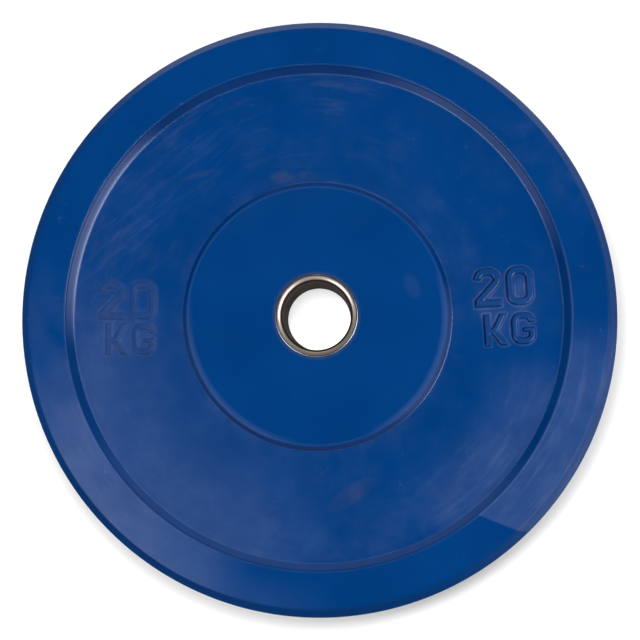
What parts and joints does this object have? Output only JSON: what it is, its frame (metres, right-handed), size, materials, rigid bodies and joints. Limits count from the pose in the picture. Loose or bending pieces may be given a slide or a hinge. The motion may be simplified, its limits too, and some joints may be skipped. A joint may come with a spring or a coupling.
{
  "type": "bumper plate",
  "caption": "Round solid-rubber weight plate with raised rim and boss, raised weight marks and a steel sleeve in its bore.",
  "frame": {"origin": "centre of the bore at the back face, which is the face the plate lies on", "axes": "+Z along the bore axis, out of the front face; +X to the right and +Y upward as the marks on the front face are read"},
  "size_m": [0.45, 0.45, 0.08],
  "materials": {
    "blue_rubber": "satin vulcanised rubber with a faint pale bloom and light scuffs",
    "stainless_steel": "turned and lightly brushed",
    "plain_steel": "hot-rolled mild steel, unpainted",
    "weld_metal": "as welded"
  },
  "bodies": {
    "root": {"rubber_body": "blue_rubber", "hub_sleeve": "stainless_steel", "anchor_flange_front": "plain_steel", "anchor_flange_back": "plain_steel", "weld_front_outer": "weld_metal", "weld_front_inner": "weld_metal", "weld_back_inner": "weld_metal", "weld_back_outer": "weld_metal"}
  },
  "joints": []
}
